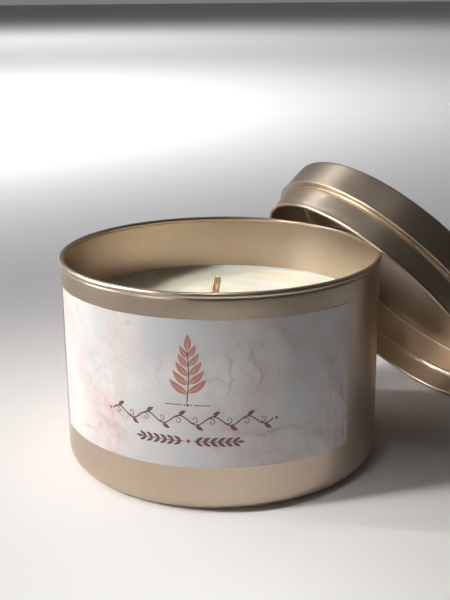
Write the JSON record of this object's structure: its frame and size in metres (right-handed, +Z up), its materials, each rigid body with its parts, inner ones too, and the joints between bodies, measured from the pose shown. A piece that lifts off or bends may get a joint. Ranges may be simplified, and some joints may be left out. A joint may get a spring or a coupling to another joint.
{
  "type": "candle tin",
  "caption": "Round drawn tin holding poured wax round a cotton wick, with a paper front label and a step lid that leans on its rim and lifts away.",
  "frame": {"origin": "centre of the tin's flat base, on the surface it stands on", "axes": "+Z up along the tin's axis; the tin's front is towards -Y; the lid leans towards +X and a little +Y"},
  "size_m": [0.1177, 0.1035, 0.0686],
  "materials": {
    "gold_tin": "tinplate with a satin champagne gold lacquer, inside and out",
    "gold_lid": "tinplate with a satin champagne gold lacquer, inside and out",
    "wax": "cream soy wax, slightly translucent, soft sheen",
    "cotton_wick": "waxed flat braided cotton",
    "bare_steel": "bright tinplate",
    "adhesive_foam": "white adhesive foam",
    "label_paper": null
  },
  "bodies": {
    "tin": {"tin_body": "gold_tin", "wax": "wax", "wick": "cotton_wick", "wick_sustainer": "bare_steel", "sustainer_sticker": "adhesive_foam", "front_label": "label_paper"},
    "lid": {"lid": "gold_lid"}
  },
  "joints": [
    {"name": "lid_lift", "type": "slide", "parent": "tin", "child": "lid", "axis": [0.6808, 0.3931, 0.618], "range_m": [0, 0.07]}
  ]
}
